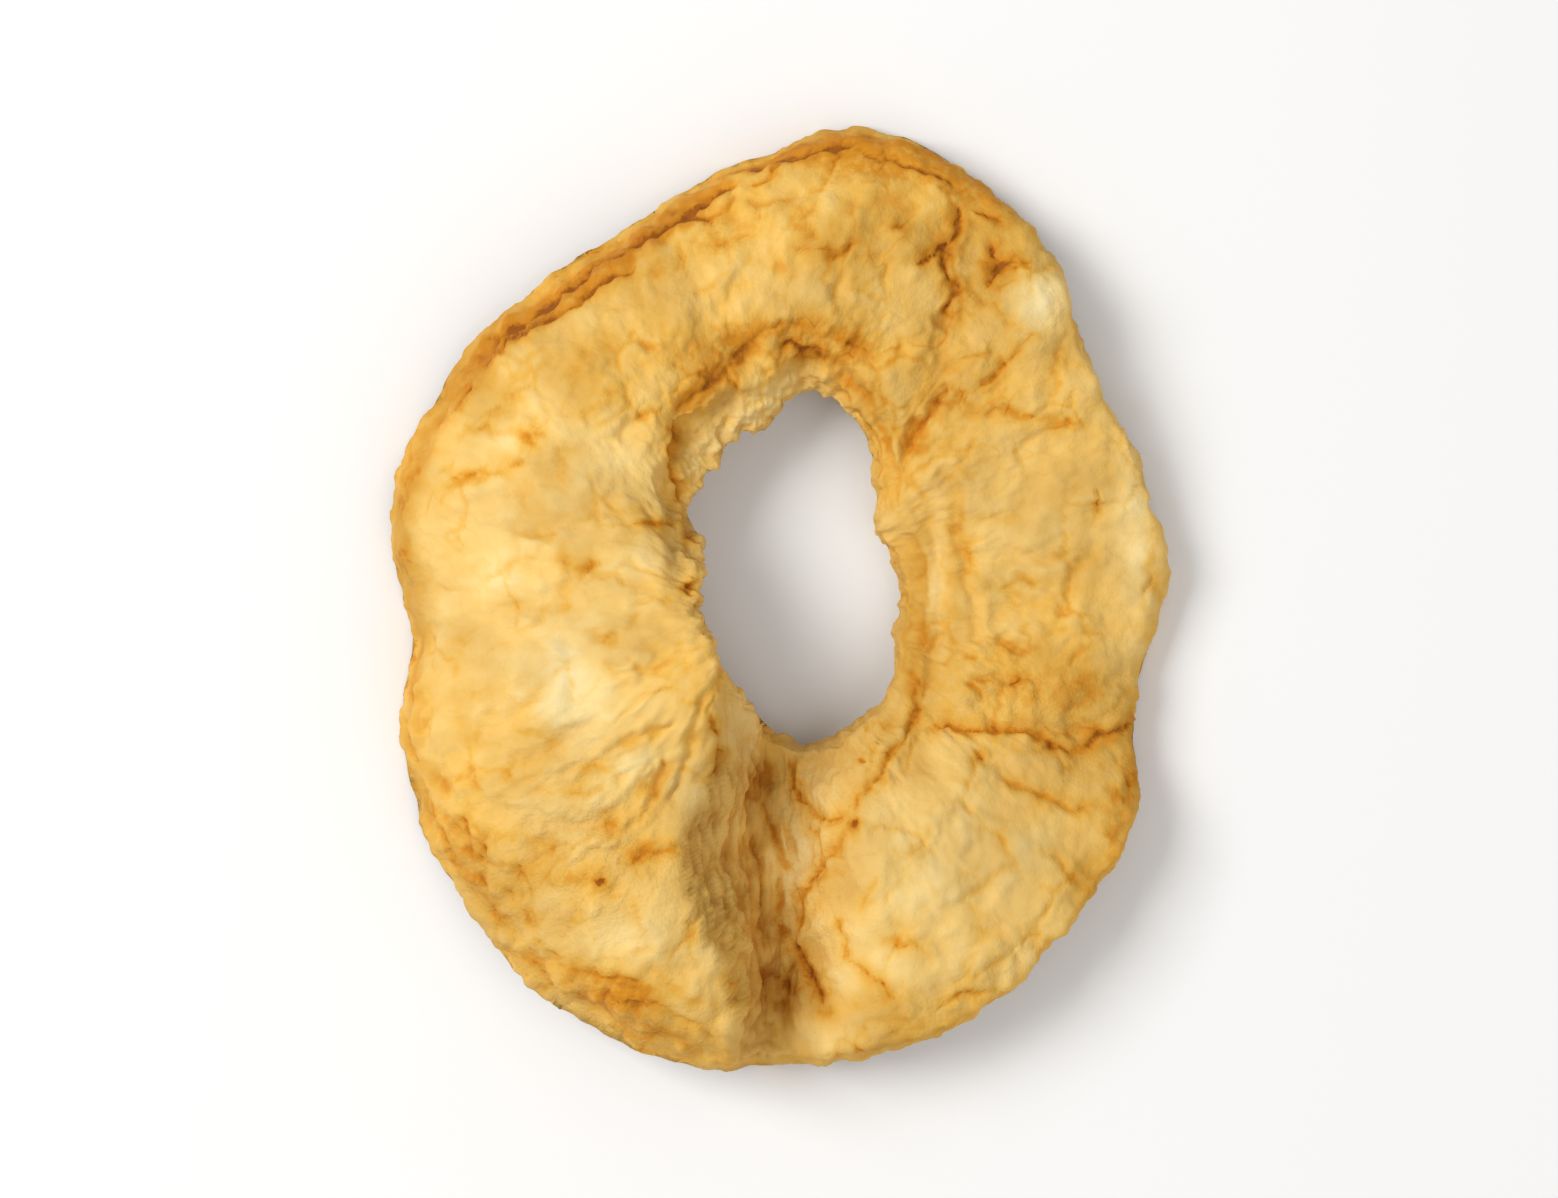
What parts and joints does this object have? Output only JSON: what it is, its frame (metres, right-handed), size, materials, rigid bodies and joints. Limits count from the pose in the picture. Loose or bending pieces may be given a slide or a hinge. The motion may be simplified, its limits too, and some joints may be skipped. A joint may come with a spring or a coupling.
{
  "type": "dried apple ring",
  "caption": "Ring of dried apple: a peeled and cored slice, domed and folded as it dried, with a long ragged hole. It lies on its rim.",
  "frame": {"origin": "under the middle of the ring, on the surface that it lies on", "axes": "+Z up out of the domed face, +Y along the ring's length to the end opposite the fold, +X to the right seen from above with +Y up"},
  "size_m": [0.0548, 0.0662, 0.0146],
  "materials": {
    "dried_flesh": "matt, leathery dried fruit flesh, cream gold with orange and brown creases and rims"
  },
  "bodies": {
    "root": {"apple_ring": "dried_flesh"}
  },
  "joints": []
}
